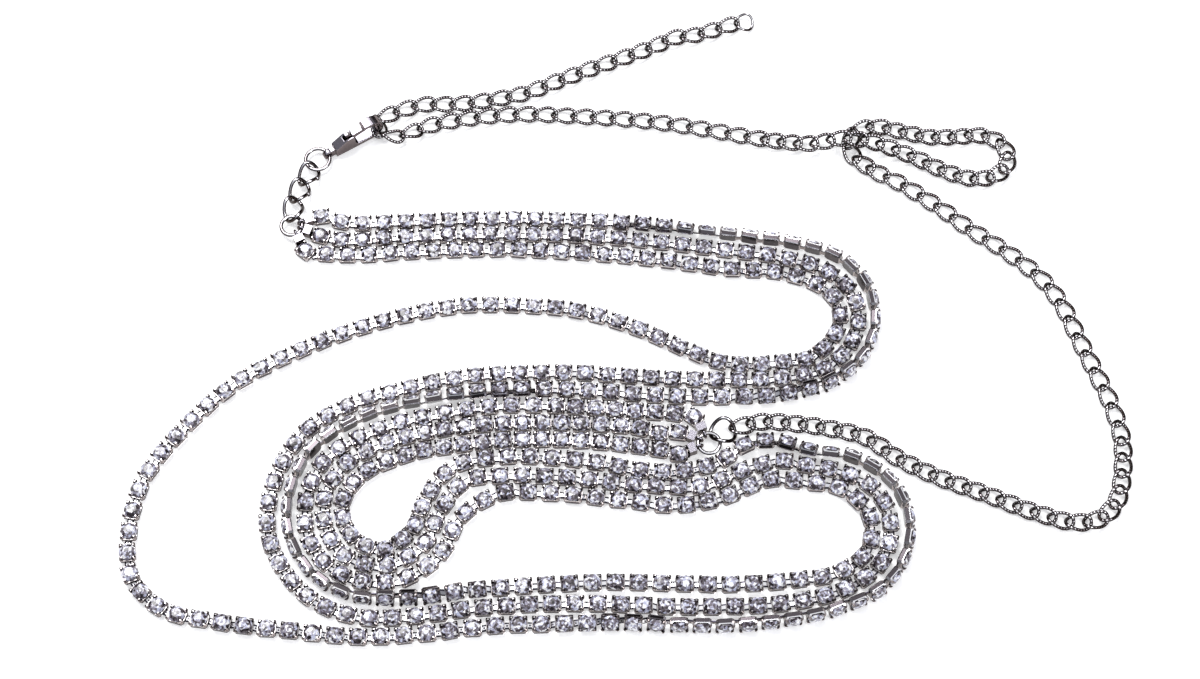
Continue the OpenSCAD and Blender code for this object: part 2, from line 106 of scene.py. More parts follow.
ROUTE_TAIL = [
    (-44, 48.3, 0), (-36, 48.6, 0), (-28, 49.8, 0), (-22, 51.2, 0), (-15, 54.2, 0),
    (-8.5, 57, 0), (-1, 60, 0), (6, 63, 0), (10, 65, 0), (14, 65.6, 0), (17.4, 66.6, 0),
    (21.4, 68, 0)]

# Sizes in millimetres and headings in degrees, as in the part's source
RING_WIRE, LINK_WIRE, LINK_GAP, LOOP_WIRE, LOOP_GAP = 0.6, 0.55, 0.3, 0.5, 0.22
RING_R = (4.95 - RING_WIRE) / 2
CLASP_RING_R = (5.65 - RING_WIRE) / 2
EXTENDER_RING_R = (5.55 - RING_WIRE) / 2
TAIL_RING_R = (4.4 - LINK_WIRE) / 2
LINK_A, LINK_B, LINK_TWIST = (5.6 - LINK_WIRE) / 2, (3.7 - LINK_WIRE) / 2, 0.56
ROUND_A, ROUND_B, ROUND_TWIST = (5.8 - RING_WIRE) / 2, (4.4 - RING_WIRE) / 2, 1.15
ROUND_Z, LINK_Z = RING_WIRE / 2 + ROUND_TWIST, LINK_WIRE / 2 + LINK_TWIST
LINK_STEP, SLACK_STEP, SLACK_RUNS = 4.1, 3.5, [(0, 92), (170, 275)]
LOOP_R = RING_WIRE / 2 + LOOP_GAP + LOOP_WIRE / 2
LOOP_SINK, TIP_L, STRAND_GAP = 0.3, 1.5, 0.3
STRAND_FROM = RING_R + LOOP_R + LOOP_WIRE / 2 - LOOP_SINK + TIP_L + STRAND_GAP
START_AT, START_TURN = np.array([-69.6, 19.2]), -20
END_AT, END_TURN = np.array([15.6, -29.3]), 158
TIP_SPREAD, LEAD = 42, 1.5
EXTENDER_TURN, EXTENDER_HEADING, FIRST_TURN, TAIL_TURN = 42, 36, 20, 13
CLASP_TURN, LINK_TURNS = 32, (88, 77, 66)
CLASP_L, CLASP_H, EYE_R, PAST_HOOK = 14, 5.4, 1.15, 0.6
HELD_TURN, HELD_SLOPE, HELD_ROLL, HELD_Z, HELD_SIDE = 103.2, 4.1, 23.5, 1.53, 0.38
LAST_SWING, FIRST_SWING = -9.3, 33.4
END_LIFT = 0.2  # the rise of the chain towards the held link
# The links beside the held one lie tilted: a place or a height, then heading, slope and roll
BESIDE_LAST_AT, BESIDE_LAST_TILT = (-45.7, 41.58, 1.14), (27.3, -5.9, -15.3)
LAST_Z, LAST_TILT = 1.3, (-12, -2, -24.6)
FIRST_Z, FIRST_TILT = 0.86, (26.4, 0, -3.7)

# The wires as they look, over their ridges and plating
ROPE_WIRE, HELD_WIRE, ROUND_WIRE = 0.72, LINK_WIRE + 0.06, 0.76
# The drop of solder: its radius, how far out it sits, and where its ends are cut, in radians
BEAD_R, BEAD_OUT, BEAD_CUT = 0.52, 0.15, 0.15

# A cup about its middle, stone up: half its width, cut corners, base, half a notch, stretch
CUP_HALF, CUP_CUT, CUP_LOW, NOTCH, CUP_LONG = 1.6, 0.36, -1.1, 0.85, 1.11
STONE_R, TABLE_R, CROWN_R, STAR_R, BELLY_R = 1.65, 0.92, 0.56, 1.27, 1.33
# A stone's tones, glass colour with painted reflections, are drawn by chance, and the first ones are those
# of its table and its rim
FACET_TONES, TABLE_TONES = 49, 16
# Some stones get a painted glint: their table and rim tones are bright, at the given share
TONE_SHAPE, GLINT_TONES, GLINT_SHARE = (0.55, 0.62), (0.8, 1.0), 0.1

# A connector's section, its top left bright between its two sloping edges, which with its sides carry
# painted dark shade, and where it meets a cup
BAR_SECTION = ((-0.66, -0.12), (0.66, -0.12), (0.66, 0.04), (0.34, 0.13), (-0.34, 0.13), (-0.66, 0.04))
BAR_SHADE_TONES = [0.6, 0.0, 0.0, 1.0, 0.0, 0.0, 0.1, 0.1]
BAR_LOW, BAR_FROM, BAR_END, BAR_END_LOW, BAR_SHORTEST = -0.86, 1.66, 2.2, -0.3, 0.1
# The hole in it, drawn as a boss painted dark with shade: half its width, foot, top, taper and tone, and the
# shortest bar with one
PEG_R, PEG_LOW, PEG_HIGH, PEG_TAPER, PEG_SHADE_TONE, PEG_BAR = 0.2, 0.05, 0.16, 0.8, 0.02, 0.7

# The first cup's distance from its strand's end, how far ahead and back its heading looks, and
# its gap to the floor
FIRST_CUP, HEADING_REACH, CUP_REST = 1.75, 1.2, 0.02
# The spread of the cups' rolls and turns in degrees, and the roll in radians that counts as lying
ROLL_SPREAD, TURN_SPREAD, LYING = 3.5, 2, 0.3

# Where the cups roll on to their sides: a point near the strand, and degrees to the left
ROLLS_TOP = [((-3.9, 20.8), 0), ((21.8, 16.6), 88), ((44.2, -13), 88), ((17, -19.4), 0),
             ((-11, -17.2), 0), ((-45.9, -21.1), -86), ((-51.8, -61.5), -88), ((-24.3, -58.5), 0)]
ROLLS_BOTTOM = [((-17.5, -66.2), 0), ((12.2, -66.8), -86), ((43.3, -32.3), -88), ((20.7, -29.7), 0)]

# Painted reflection on the silver: a painted highlight in the middle of a surface, turning to painted brown
# and dark reflection at its edge, as (Layer Weight, colour)
CUP_PAINTED_REFLECTION_STOPS = [(0.0, (0.97, 0.97, 1.0)), (0.12, (0.92, 0.91, 0.93)), (0.35, (0.68, 0.65, 0.65)),
             (0.62, (0.42, 0.36, 0.34)), (0.8, (0.12, 0.085, 0.07)), (1.0, (0.2, 0.15, 0.12))]
LINK_PAINTED_REFLECTION_STOPS = [(0.0, (1.0, 1.0, 1.0)), (0.05, (0.8, 0.79, 0.83)), (0.14, (0.26, 0.22, 0.23)),
              (0.25, (0.05, 0.036, 0.032)), (0.7, (0.03, 0.02, 0.017)), (1.0, (0.14, 0.095, 0.075))]
CLASP_PAINTED_REFLECTION_STOPS = [(0.0, (0.5, 0.48, 0.54)), (0.12, (0.34, 0.32, 0.36)), (0.25, (0.2, 0.17, 0.18)),
               (0.5, (0.13, 0.1, 0.1)), (0.75, (0.05, 0.035, 0.03)), (1.0, (0.15, 0.1, 0.08))]
# Colours by tone: painted shade from a cup's hollows to its edges, painted shade from a ridge's groove to
# its top, and a stone's facets in lilac glass colour with painted dark and white reflections
PAINTED_SHADE_STOPS = [(0.0, (0.05, 0.045, 0.06)), (0.35, (0.3, 0.26, 0.25)), (1.0, (1, 1, 1))]
GROOVE_PAINTED_SHADE_STOPS = [(0.0, (0.1, 0.075, 0.07)), (0.3, (0.3, 0.27, 0.27)), (0.6, (1, 1, 1)), (1.0, (1, 1, 1))]
STONE_GLASS_AND_REFLECTION_STOPS = [(0.12, (0.01, 0.007, 0.01)), (0.28, (0.055, 0.042, 0.05)), (0.44, (0.18, 0.155, 0.18)),
               (0.57, (0.34, 0.32, 0.41)), (0.69, (0.62, 0.65, 0.84)), (0.79, (1.0, 1.0, 1.0))]
DOME_STOPS = [(0.0, (0.02, 0.016, 0.015)), (0.3, (0.06, 0.055, 0.06)), (0.6, (0.4, 0.41, 0.45)),
              (0.85, (0.9, 0.92, 1.0)), (1.0, (1.0, 1.0, 1.0))]
RIDGES, RIDGE_LEAN, RIDGE_DEPTH, STONE_REFLECTION_CELLS = 22, 2, 0.00003, 2100

# The solids that show, and how far their edges are rounded
TIP_EDGE = 0.3
EDGES = {"clasp_body": 0.35, "clasp_lever": 0.18,
         "start_tip_top": TIP_EDGE, "start_tip_middle": TIP_EDGE, "start_tip_bottom": TIP_EDGE,
         "end_tip_top": TIP_EDGE, "end_tip_middle": TIP_EDGE, "end_tip_bottom": TIP_EDGE}


def unit(a):
    return np.array([math.cos(math.radians(a)), math.sin(math.radians(a))])


def lift(p, z):
    return np.array([p[0], p[1], z], float)


def swing(a, b, angle):
    """Two directions at right angles, turned towards each other's side by an angle in radians."""
    return a * math.cos(angle) + b * math.sin(angle), b * math.cos(angle) - a * math.sin(angle)


def slope(p, i):
    """The curve's direction at a point. The curve is the one in the part's source."""
    if i == 0:
        return (p[1] - p[0]) / np.linalg.norm(p[1] - p[0])
    if i == len(p) - 1:
        return (p[i] - p[i - 1]) / np.linalg.norm(p[i] - p[i - 1])
    d0, d1 = np.linalg.norm(p[i] - p[i - 1]), np.linalg.norm(p[i + 1] - p[i])
    return ((p[i] - p[i - 1]) / d0 * d1 + (p[i + 1] - p[i]) / d1 * d0) / (d0 + d1)


def on_curve(p, i, t):
    """The place at a share t of the way from one point to the next."""
    d, u = np.linalg.norm(p[i + 1] - p[i]), 1 - t
    return (p[i] * (1 + 2 * t) * u * u + p[i + 1] * t * t * (3 - 2 * t)
            + slope(p, i) * d * t * u * u - slope(p, i + 1) * d * t * t * u)


class Route:
    """A smooth curve through points, in k steps from one to the next, read by the distance along it."""

    def __init__(self, points, k):
        p = [np.array(q, float) for q in points]
        c = [on_curve(p, i, j / k) for i in range(len(p) - 1) for j in range(k)] + [p[-1]]
        self.c = np.array(c)
        steps = np.linalg.norm(np.diff(self.c, axis=0), axis=1)
        self.s = np.concatenate([[0], np.cumsum(steps)])
        self.total = self.s[-1]

    def at(self, d):
        i = min(max(int(np.searchsorted(self.s, d, side="right")) - 1, 0), len(self.c) - 2)
        t = (d - self.s[i]) / (self.s[i + 1] - self.s[i])
        return self.c[i] * (1 - t) + self.c[i + 1] * t

    def across(self, d, reach):
        """The chord from a reach before a distance to a reach after it."""
        return self.at(min(self.total, d + reach)) - self.at(max(0, d - reach))

    def nearest(self, x, y):
        return float(self.s[np.argmin(np.linalg.norm(self.c[:, :2] - np.array([x, y]), axis=1))])


class Builder:
    """Collects copies of small meshes into one."""

    def __init__(self):
        self.verts, self.faces, self.tones, self.along, self.count = [], [], [], [], 0

    def add(self, verts, faces, tones=(), along=None):
        self.verts.append(np.asarray(verts, float))
        self.faces += [tuple(i + self.count for i in f) for f in faces]
        self.tones += list(tones)
        if along is not None:
            self.along.append(along)
        self.count += len(verts)

    def build(self, name, metal, smooth=False):
        """One object in metres, with its faces' tones or its places along and round a wire."""
        mesh = bpy.data.meshes.new(name)
        mesh.from_pydata((np.concatenate(self.verts) * MM).tolist(), [], self.faces)
        if smooth:
            mesh.polygons.foreach_set("use_smooth", [True] * len(mesh.polygons))
        if self.tones:
            layer = mesh.attributes.new("tone", "FLOAT", "FACE")
            layer.data.foreach_set("value", np.asarray(self.tones, np.float32))
        if self.along:
            layer = mesh.attributes.new("along", "FLOAT_VECTOR", "POINT")
            layer.data.foreach_set("vector", np.concatenate(self.along).astype(np.float32).ravel())
        mesh.update()
        mesh.materials.append(metal)
        o = bpy.data.objects.new(name, mesh)
        bpy.context.scene.collection.objects.link(o)
        return o


def chain_piece(builder, name, node, metal):
    """A smooth silver piece on the chain, in place of its CAD node."""
    o = builder.build(name, metal, smooth=True)
    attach(o, "chain")
    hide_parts(node)


def loft(sections):
    """Joins rings of points, each a list of the same length, into a closed skin."""
    n, last = len(sections[0]), len(sections) - 1
    verts = [p for s in sections for p in s]
    faces = [(k * n + i, k * n + (i + 1) % n, (k + 1) * n + (i + 1) % n, (k + 1) * n + i)
             for k in range(last) for i in range(n)]
    return verts, faces + [tuple(range(n - 1, -1, -1)), tuple(last * n + i for i in range(n))]


def wall_ring(half, z, dip):
    """Sixteen points round a square with cut corners, lower by dip in the middle of each side."""
    b = half - CUP_CUT
    points = []
    for c, s in ((1, 0), (0, 1), (-1, 0), (0, -1)):
        for y, low in ((-b, 0), (-NOTCH, dip), (NOTCH, dip), (b, 0)):
            points.append((half * c - y * s, half * s + y * c, z - low))
    return points


def cup_mesh():
    """The cup's wall with a sunk panel on each side, painted dark with shade, a notched rim and four corner
    prongs.

    A face's tone paints light and shade on its silver, from 0, painted shade in a hollow, to 1, the full
    painted highlight of a polished edge.
    The bands are rows of (half width, height, dip of the notch, tone of the band above).
    """
    # The sunk band is painted dark with shade, and edge is a painted highlight on its cut corners
    sunk, rim, dip, panel, edge = CUP_HALF - 0.06, 0.42, 0.36, 3, 0.95
    bands = [(1.4, CUP_LOW, 0, 1.0), (1.54, CUP_LOW + 0.1, 0, 1.0), (CUP_HALF, CUP_LOW + 0.2, 0, 0.5),
             (sunk, CUP_LOW + 0.24, 0, 0.1), (sunk, -0.18, 0, 1.0), (CUP_HALF, -0.14, 0, 1.0),
             (CUP_HALF, rim, dip, 0.5), (1.44, rim, dip, 0.2), (1.36, 0.0, 0, 0.1)]
    # A prong's rows are (distance from the middle, height, radius, tone)
    spine = [(1.38, 0.0, 0.24, 0.6), (1.37, 0.45, 0.25, 0.3), (1.28, 0.74, 0.24, 0.3),
             (1.17, 0.88, 0.15, 0.5), (1.12, 0.88, 0.08, 0)]
    # Painted shade under the cup, on its floor and at the prongs' feet, and a painted highlight on the
    # prongs' tips
    base_tone, floor_tone, foot_tone, tip_tone = 0.08, 0.1, 0.2, 0.8
    verts, faces = loft([wall_ring(half, z, low) for half, z, low, _ in bands])
    tones = [edge if k == panel and i % 4 == 3 else tone
             for k, (_, _, _, tone) in enumerate(bands[:-1]) for i in range(16)]
    tones += [base_tone, floor_tone]
    for sx in (-1, 1):
        for sy in (-1, 1):
            v, f = loft([[(sx * c + r * math.cos(math.pi * k / 3), sy * c + r * math.sin(math.pi * k / 3), z)
                          for k in range(6)] for c, z, r, _ in spine])
            faces += [tuple(i + len(verts) for i in g) for g in f]
            verts += v
            tones += [t for _, _, _, t in spine[:-1] for _ in range(6)] + [foot_tone, tip_tone]
    return np.array(verts) * (CUP_LONG, 1, 1), faces, tones


def circle(r, n, start, z):
    turns = [2 * math.pi * (k + start) / n for k in range(n)]
    return [(r * math.cos(t), r * math.sin(t), z) for t in turns]


def stone_mesh():
    """Table, star, kite and girdle facets, with a number for each facet's tone."""
    # Circles are (radius, number of points, turn in points, height)
    verts = [(0, 0, 1.06)]
    for row in ((TABLE_R, 8, 0, 1.02), (STAR_R, 8, 0.5, 0.8), (STONE_R, 16, 0, 0.38),
                (CROWN_R, 8, 0.5, 1.04), (STONE_R, 16, 0, 0.22), (BELLY_R, 16, 0, 0.02)):
        verts += circle(*row)
    table, star, girdle, crown, under, belly = 1, 9, 17, 33, 41, 57
    faces, group = [], []
    for k in range(8):
        t, t2, s, s0 = table + k, table + (k + 1) % 8, star + k, star + (k - 1) % 8
        g, g1, g2 = girdle + 2 * k, girdle + (2 * k + 1) % 16, girdle + (2 * k + 2) % 16
        c, c2 = crown + k, crown + (k + 1) % 8
        faces += [(0, c, c2), (c, t2, c2), (c, t, t2), (t, s, t2), (t, s0, g), (t, g, s),
                  (s, g, g1), (s, g1, g2)]
        group += [k // 2, 8 + k, 8 + k, 16 + k, 24 + k, 24 + k, 32 + k, 32 + k]
    for k in range(16):
        for high, low in ((girdle, under), (under, belly)):
            k1 = (k + 1) % 16
            faces.append((high + k, high + k1, low + k1, low + k))
            group.append(40 + k % 8)
    faces.append(tuple(range(belly + 15, belly - 1, -1)))
    group.append(FACET_TONES - 1)
    return np.array(verts), faces, np.array(group)


def bar_mesh(a, b, up):
    """A flat connector from a to b, bright on top with painted dark shade on its edges, and its faces'
    tones.
    """
    d = (b - a) / np.linalg.norm(b - a)
    side = np.cross(up, d)
    side /= np.linalg.norm(side)
    top = np.cross(d, side)
    ring = [side * y + top * z for y, z in BAR_SECTION]
    verts, faces = loft([[a + r for r in ring], [b + r for r in ring]])
    return verts, faces, BAR_SHADE_TONES


def peg_mesh(at, x, n):
    """The small hole in the middle of a connector, drawn as a low square boss painted dark with shade."""
    y = np.cross(n, x)
    ring = [x * sx * PEG_R + y * sy * PEG_R for sx, sy in ((-1, -1), (1, -1), (1, 1), (-1, 1))]
    v, f = loft([[at + q - n * PEG_LOW for q in ring], [at + q * PEG_TAPER + n * PEG_HIGH for q in ring]])
    return v, f, [PEG_SHADE_TONE] * len(f)


def strand_route(route, i):
    """A strand's route with a straight lead from each tip, where the tips fan out from the rings."""
    turn = (1 - i) * TIP_SPREAD
    start = [START_AT + (STRAND_FROM + f) * unit(START_TURN + turn) for f in (0, LEAD)]
    end = [END_AT + (STRAND_FROM + f) * unit(END_TURN - turn) for f in (LEAD, 0)]
    return Route(start + [np.array(p, float) for p in route] + end, 12)


def cup_marks(total, count, wide, tight):
    """Distances of the cups along a strand, at a wide pitch and then at a tight one."""
    length = total - 2 * FIRST_CUP
    share = (length - tight * (count - 1)) / ((wide - tight) * (count - 1))
    marks, d = [], FIRST_CUP
    for k in range(count):
        marks.append(d)
        d += wide if k < share * (count - 1) else tight
    fit = length / (marks[-1] - marks[0])
    return [FIRST_CUP + (m - FIRST_CUP) * fit for m in marks]


def cup_place(route, d, rolls):
    """A cup's middle and its three directions, with its roll and a slight turn by chance."""
    x = lift(route.across(d, HEADING_REACH), 0)
    x /= np.linalg.norm(x)
    laid = float(np.interp(d, [r[0] for r in rolls], [r[1] for r in rolls]))
    roll = math.radians(laid + rng.normal(0, ROLL_SPREAD))
    left = np.cross([0, 0, 1], x)
    normal = math.cos(roll) * np.array([0, 0, 1]) + math.sin(roll) * left
    yaw, pitch = math.radians(rng.normal(0, TURN_SPREAD)), math.radians(rng.normal(0, TURN_SPREAD))
    x, y = swing(x, np.cross(normal, x), yaw)
    x, normal = swing(x, normal, pitch)
    turn = np.array([x, y, normal])
    down = CUP_V @ turn[:, 2]
    # A cup on its side is raised by its furthest point, above or below its middle
    reach = np.abs(down).max() if abs(roll) > LYING else -down.min()
    return lift(route.at(d), reach + CUP_REST), turn


def stone_look():
    """A stone's points, turned by chance, and the tones of its facets, glass colour with painted
    reflections.
    """
    spin = rng.uniform(0, math.pi / 4)
    cs, sn = math.cos(spin), math.sin(spin)
    x, y, z = STONE_V.T
    tone = rng.beta(*TONE_SHAPE, FACET_TONES)
    if rng.random() < GLINT_SHARE:
        tone[:TABLE_TONES] = rng.uniform(*GLINT_TONES)
    return np.stack([x * cs - y * sn, x * sn + y * cs, z], 1), tone[STONE_G]


def build_strand(name, node, route, count, wide, tight, rolls, pegs=False):
    """Cups with stones along a route, turned by the given rolls, and the connectors between."""
    cups, stones, places = Builder(), Builder(), []
    for d in cup_marks(route.total, count, wide, tight):
        at, turn = cup_place(route, d, rolls)
        cups.add(CUP_V @ turn + at, CUP_F, CUP_T)
        points, tones = stone_look()
        stones.add(points @ turn + at, STONE_F, tones)
        places.append((at, turn[0], turn[2]))
    for (p, x0, n0), (q, x1, n1) in zip(places, places[1:]):
        a, b = p + x0 * BAR_FROM + n0 * BAR_LOW, q - x1 * BAR_FROM + n1 * BAR_LOW
        if (b - a) @ (x0 + x1) > BAR_SHORTEST:
            cups.add(*bar_mesh(a, b, n0 + n1))
            if pegs and np.linalg.norm(b - a) > PEG_BAR:
                cups.add(*peg_mesh((a + b) / 2, (b - a) / np.linalg.norm(b - a), n0))
    for (p, x, n), sign in ((places[0], -1), (places[-1], 1)):
        cups.add(*bar_mesh(p + x * sign * BAR_FROM + n * BAR_LOW,
                           p + x * sign * BAR_END + n * BAR_END_LOW, n))
    metal = cups.build(name + "_cups", cup_silver)
    gems = stones.build(name + "_stones", stone)
    for o, slot in ((metal, "silver_metal"), (gems, "rhinestone")):
        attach(o, "chain")
    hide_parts(node)


def link_mesh(a, b, twist, wire, row, n, m):
    """A twisted oval link as in the source, with its own place along and round the wire."""
    at, heading, slant, roll = row
    t = np.linspace(0, 2 * math.pi, n, endpoint=False)
    p = np.stack([a * np.cos(t), b * np.sin(t), twist * np.sin(2 * t)], 1)
    q = np.stack([-a * np.sin(t), b * np.cos(t), 2 * twist * np.cos(2 * t)], 1)
    q /= np.linalg.norm(q, axis=1)[:, None]
    out = np.stack([q[:, 1], -q[:, 0], 0 * t], 1)
    out /= np.linalg.norm(out, axis=1)[:, None]
    up = np.cross(out, q)
    w = np.linspace(0, 2 * math.pi, m, endpoint=False)
    ring = (p[:, None] + wire / 2 * (out[:, None] * np.cos(w)[None, :, None]
                                     + up[:, None] * np.sin(w)[None, :, None])).reshape(-1, 3)
    r, s, h = math.radians(roll), math.radians(slant), math.radians(heading)
    y = ring[:, 1] * math.cos(r) - ring[:, 2] * math.sin(r)
    z = ring[:, 1] * math.sin(r) + ring[:, 2] * math.cos(r)
    x = ring[:, 0] * math.cos(s) - z * math.sin(s)
    z = ring[:, 0] * math.sin(s) + z * math.cos(s)
    verts = np.stack([x * math.cos(h) - y * math.sin(h), x * math.sin(h) + y * math.cos(h), z], 1) + at
    faces = [(i * m + j, i * m + (j + 1) % m, (i + 1) % n * m + (j + 1) % m, (i + 1) % n * m + j)
             for i in range(n) for j in range(m)]
    steps = np.linalg.norm(np.roll(p, -1, 0) - p, axis=1)
    far = np.concatenate([[0], np.cumsum(steps)[:-1]])
    along = np.stack([np.repeat(far / steps.sum(), m), np.tile(w / (2 * math.pi), n), 0 * ring[:, 0]], 1)
    return verts, faces, along


def links(a, b, twist, wire, rows, n=40, m=8):
    """Links of one size, each at its row's position, heading, slope and roll.

    A link has n points along its wire and m round it.
    """
    builder = Builder()
    for row in rows:
        verts, faces, along = link_mesh(a, b, twist, wire, row, n, m)
        builder.add(verts, faces, along=along)
    return builder


def rounds(a, b, twist, wire, at, heading=0):
    """One finely drawn round link or ring."""
    return links(a, b, twist, wire, [(at, heading, 0, 0)], n=56, m=14)


def link_rows(points, runs):
    """The rows of a chain's links along its points, closer together within the given runs."""
    route = Route(points, 8)
    far, d = [], 0.0
    while d < route.total + LINK_STEP / 2:
        far.append(d)
        d += SLACK_STEP if any(r[0] <= d < r[1] for r in runs) else LINK_STEP
    fit = route.total / far[-1]
    rows = []
    for f in far:
        d = f * fit
        to = route.across(d, LINK_A)
        rows.append((route.at(d) + np.array([0, 0, LINK_Z]), math.degrees(math.atan2(to[1], to[0])),
                     math.degrees(math.asin(to[2] / np.linalg.norm(to))), 0))
    return rows


def add_bead(builder, at):
    """The drop of solder on a round link's side."""
    rings = [[(at[0] + BEAD_R * math.sin(p) * math.cos(w), at[1] + BEAD_R * math.sin(p) * math.sin(w),
               at[2] - BEAD_R * math.cos(p)) for w in np.linspace(0, 2 * math.pi, 12, endpoint=False)]
             for p in np.linspace(BEAD_CUT, math.pi - BEAD_CUT, 8)]
    v, f = loft(rings)
    builder.add(v, f, along=np.zeros((len(v), 3)))


def material(name):
    """A new material, with its nodes, their links and its shader."""
    m = bpy.data.materials.new(name)
    m.use_nodes = True
    return m, m.node_tree.nodes, m.node_tree.links, m.node_tree.nodes["Principled BSDF"]


def ramp(nodes, stops):
    """A colour ramp through (position, colour) stops."""
    r = nodes.new("ShaderNodeValToRGB")
    while len(r.color_ramp.elements) < len(stops):
        r.color_ramp.elements.new(0.5)
    for e, (pos, col) in zip(r.color_ramp.elements, stops):
        e.position, e.color = pos, (*col, 1)
    return r


def attribute(nodes, name):
    n = nodes.new("ShaderNodeAttribute")
    n.attribute_name = name
    return n


def calculate(nodes, operation, *factors):
    """A math node whose second and third inputs are the given factors."""
    n = nodes.new("ShaderNodeMath")
    n.operation = operation
    for k, factor in enumerate(factors):
        n.inputs[1 + k].default_value = factor
    return n


def product(nodes, link, a, b):
    """One colour multiplied by another."""
    mix = nodes.new("ShaderNodeMix")
    mix.data_type, mix.blend_type = "RGBA", "MULTIPLY"
    mix.inputs["Factor"].default_value = 1.0
    link.new(a, mix.inputs["A"])
    link.new(b, mix.inputs["B"])
    return mix.outputs["Result"]


def ridge_wave(nodes, link):
    """A wave that winds round a link's wire, from -1 in a groove to 1 on a ridge."""
    place = attribute(nodes, "along")
    split = nodes.new("ShaderNodeSeparateXYZ")
    lean = calculate(nodes, "MULTIPLY", RIDGE_LEAN * 2 * math.pi)
    turns = calculate(nodes, "MULTIPLY_ADD", RIDGES * 2 * math.pi)
    wave = calculate(nodes, "SINE")
    link.new(place.outputs["Vector"], split.inputs["Vector"])
    link.new(split.outputs["Y"], lean.inputs[0])
    link.new(split.outputs["X"], turns.inputs[0])
    link.new(lean.outputs[0], turns.inputs[2])
    link.new(turns.outputs[0], wave.inputs[0])
    return wave.outputs[0]


def silver_material(name, stops, toned=False, ridged=False):
    """Polished silver with painted reflection: a painted highlight in the middle of a surface, painted brown
    and dark reflection along its edges.
    """
    m, nodes, link, shader = material(name)
    facing = nodes.new("ShaderNodeLayerWeight")
    facing.inputs["Blend"].default_value = 0.5
    painted_reflection = ramp(nodes, stops)
    link.new(facing.outputs["Facing"], painted_reflection.inputs["Fac"])
    shader.inputs["Metallic"].default_value = 1.0
    shader.inputs["Roughness"].default_value = 0.2
    colour = painted_reflection.outputs["Color"]
    # Painted shade in a cup's hollows, from the faces' tones
    if toned:
        painted_shade = ramp(nodes, PAINTED_SHADE_STOPS)
        link.new(attribute(nodes, "tone").outputs["Fac"], painted_shade.inputs["Fac"])
        colour = product(nodes, link, colour, painted_shade.outputs["Color"])
    if ridged:
        wave = ridge_wave(nodes, link)
        # The grooves between the ridges are painted dark with shade
        groove, level = ramp(nodes, GROOVE_PAINTED_SHADE_STOPS), calculate(nodes, "MULTIPLY_ADD", 0.5, 0.5)
        link.new(wave, level.inputs[0])
        link.new(level.outputs[0], groove.inputs["Fac"])
        colour = product(nodes, link, colour, groove.outputs["Color"])
        bump = nodes.new("ShaderNodeBump")
        bump.inputs["Strength"].default_value = 1.0
        bump.inputs["Distance"].default_value = RIDGE_DEPTH
        link.new(wave, bump.inputs["Height"])
        link.new(bump.outputs["Normal"], shader.inputs["Normal"])
    link.new(colour, shader.inputs["Base Color"])
    return m


def stone_material():
    """Foil-backed cut glass: each facet has a tone of glass colour and painted reflection, broken up by
    small painted inner reflections.
    """
    m, nodes, link, shader = material("rhinestone")
    place = nodes.new("ShaderNodeTexCoord")
    inner_reflections = nodes.new("ShaderNodeTexVoronoi")
    inner_reflections.inputs["Scale"].default_value = STONE_REFLECTION_CELLS
    split = nodes.new("ShaderNodeSeparateColor")
    cell_half, facet_half = calculate(nodes, "MULTIPLY", 0.5), calculate(nodes, "MULTIPLY_ADD", 0.5)
    colours = ramp(nodes, STONE_GLASS_AND_REFLECTION_STOPS)
    link.new(place.outputs["Object"], inner_reflections.inputs["Vector"])
    link.new(inner_reflections.outputs["Color"], split.inputs["Color"])
    link.new(split.outputs["Red"], cell_half.inputs[0])
    link.new(attribute(nodes, "tone").outputs["Fac"], facet_half.inputs[0])
    link.new(cell_half.outputs[0], facet_half.inputs[2])
    link.new(facet_half.outputs[0], colours.inputs["Fac"])
    link.new(colours.outputs["Color"], shader.inputs["Base Color"])
    shader.inputs["Metallic"].default_value = 0.0
    shader.inputs["Roughness"].default_value = 0.25
    shader.inputs["Coat Weight"].default_value = 0.6
    shader.inputs["Coat Roughness"].default_value = 0.04
    return m


def area_light(name, at, size, power):
    """A soft light that points at the frame's origin."""
    data = bpy.data.lights.new(name, "AREA")
    data.shape = "RECTANGLE"
    data.size, data.size_y = size
    data.energy = power
    o = bpy.data.objects.new(name, data)
    bpy.context.scene.collection.objects.link(o)
    o.location = at
    o.rotation_mode = "QUATERNION"
    o.rotation_quaternion = (-Vector(at)).to_track_quat("-Z", "Y")


silver = silver_material("silver", LINK_PAINTED_REFLECTION_STOPS)
clasp_silver = silver_material("clasp_silver", CLASP_PAINTED_REFLECTION_STOPS)
cup_silver = silver_material("cup_silver", CUP_PAINTED_REFLECTION_STOPS, toned=True)
rope = silver_material("twisted_silver", LINK_PAINTED_REFLECTION_STOPS, ridged=True)
stone = stone_material()

# The three strands
CUP_V, CUP_F, CUP_T = cup_mesh()
STONE_V, STONE_F, STONE_G = stone_mesh()
top, middle, bottom = (strand_route(r, i) for i, r in enumerate((ROUTE_TOP, ROUTE_MIDDLE, ROUTE_BOTTOM)))
build_strand("top", "strand_top", top, count=140, wide=4.45, tight=3.95,
             rolls=[(top.nearest(*p), a) for p, a in ROLLS_TOP])
build_strand("middle", "strand_middle", middle, count=142, wide=4.4, tight=3.9, rolls=[(0, 0)])
build_strand("bottom", "strand_bottom", bottom, count=156, wide=4.4, tight=3.9,
             rolls=[(bottom.nearest(*p), a) for p, a in ROLLS_BOTTOM], pegs=True)

